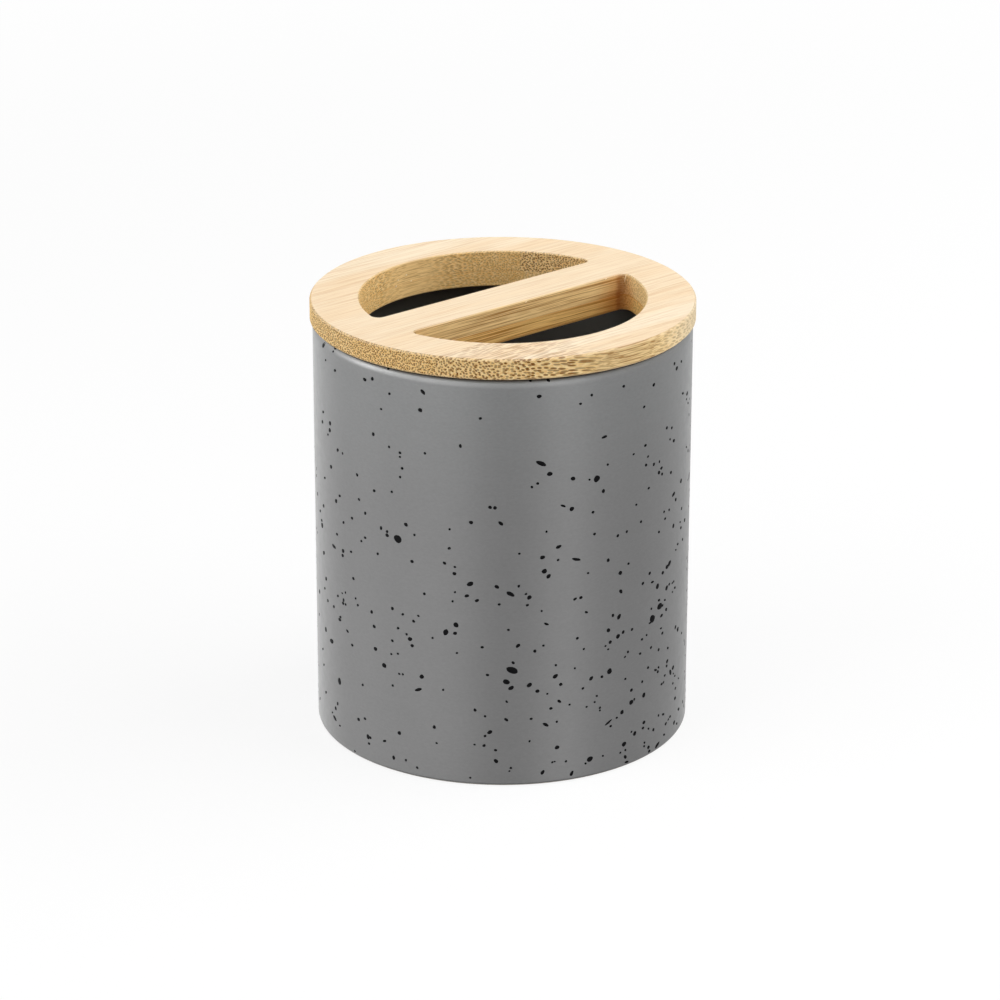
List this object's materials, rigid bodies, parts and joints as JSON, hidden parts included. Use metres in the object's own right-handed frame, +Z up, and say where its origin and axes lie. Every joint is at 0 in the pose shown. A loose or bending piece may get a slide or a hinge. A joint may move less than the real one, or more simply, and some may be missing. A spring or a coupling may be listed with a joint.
{
  "type": "toothbrush holder",
  "caption": "Straight-sided ceramic tumbler with a lift-off bamboo lid; D-shaped slots either side of a central bar hold toothbrushes upright.",
  "frame": {"origin": "centre of the tumbler's foot, on the surface that it stands on", "axes": "+Z up along the tumbler's axis, X along the lid's bar and its grain"},
  "size_m": [0.0812, 0.0812, 0.0947],
  "materials": {
    "speckled_glaze": "satin glaze with dark specks",
    "bamboo_top": "fine sanded, clear matt oil",
    "bamboo_plug": "fine sanded, clear matt oil",
    "silicone": "satin"
  },
  "bodies": {
    "cup": {"tumbler": "speckled_glaze"},
    "seal": {"seal_ring": "silicone"},
    "lid": {"top_strip_front": "bamboo_top", "top_strip_front_bar": "bamboo_top", "top_strip_back_bar": "bamboo_top", "top_strip_back": "bamboo_top", "plug_strip_front": "bamboo_plug", "plug_strip_front_bar": "bamboo_plug", "plug_strip_back_bar": "bamboo_plug", "plug_strip_back": "bamboo_plug"}
  },
  "joints": [
    {"name": "lid_lift", "type": "slide", "parent": "cup", "child": "seal", "axis": [0, 0, 1], "range_m": [0, 0.06]},
    {"name": "lid_turn", "type": "hinge", "parent": "seal", "child": "lid", "pos_m": [0, 0, 0.0884], "axis": [0, 0, 1], "continuous": true}
  ]
}
